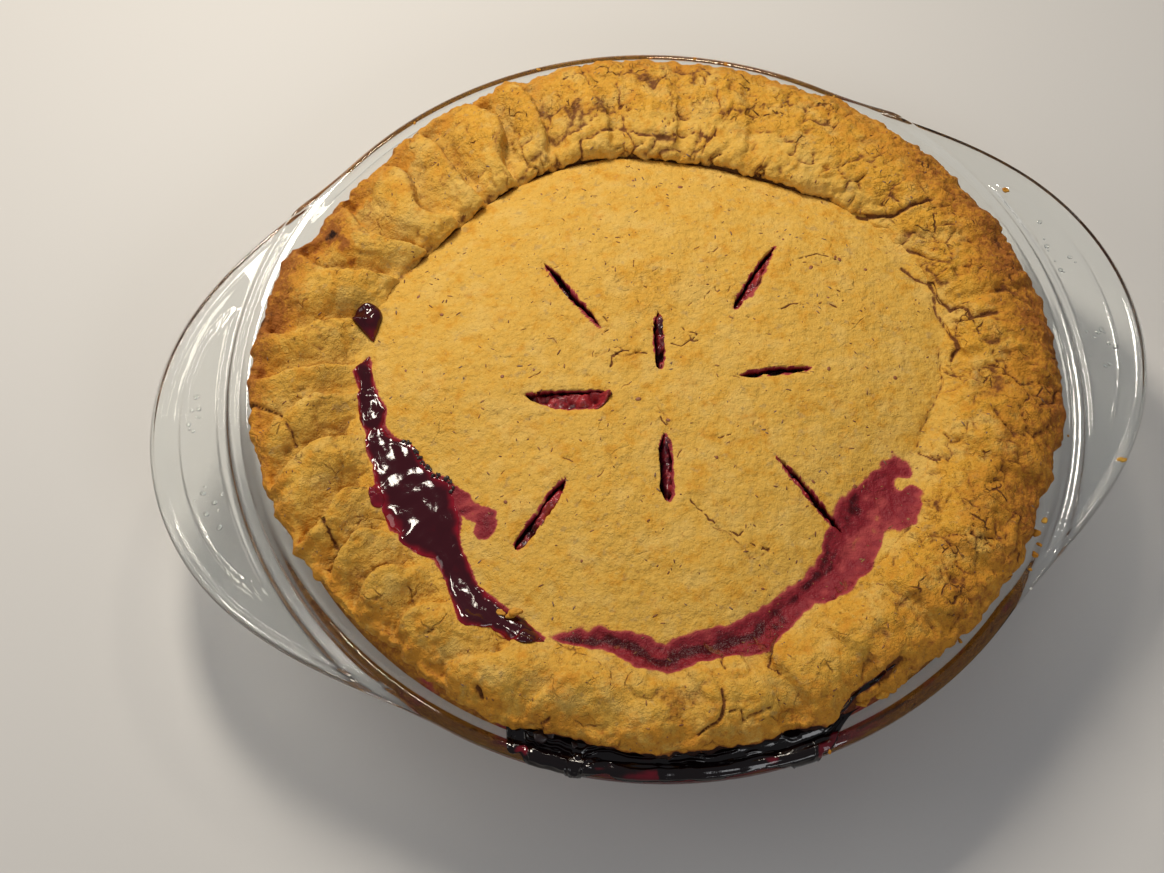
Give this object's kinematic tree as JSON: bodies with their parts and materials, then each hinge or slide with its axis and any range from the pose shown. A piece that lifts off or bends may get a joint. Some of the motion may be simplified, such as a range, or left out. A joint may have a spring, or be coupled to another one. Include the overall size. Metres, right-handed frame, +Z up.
{
  "type": "mixed berry pie in a glass dish",
  "caption": "Round berry pie with a fluted golden crust, slits in its domed lid and juice baked onto the border, kept in its own clear glass dish with a wide handle tab at each side.",
  "frame": {"origin": "middle of the dish's foot, on the surface it stands on", "axes": "+X from the middle to one handle tab, +Y to the side away from the viewer, +Z up"},
  "size_m": [0.295, 0.242, 0.061],
  "materials": {
    "glass": "clear pressed glass, faintly green at its edges, fire polished",
    "pastry": "baked shortcrust pastry with bran flecks, matte and cracked, browned along its edge",
    "berries": "cooked berry filling, dark burgundy and glossy with juice"
  },
  "bodies": {
    "root": {"dish": "glass", "crust": "pastry", "filling": "berries"}
  },
  "joints": []
}
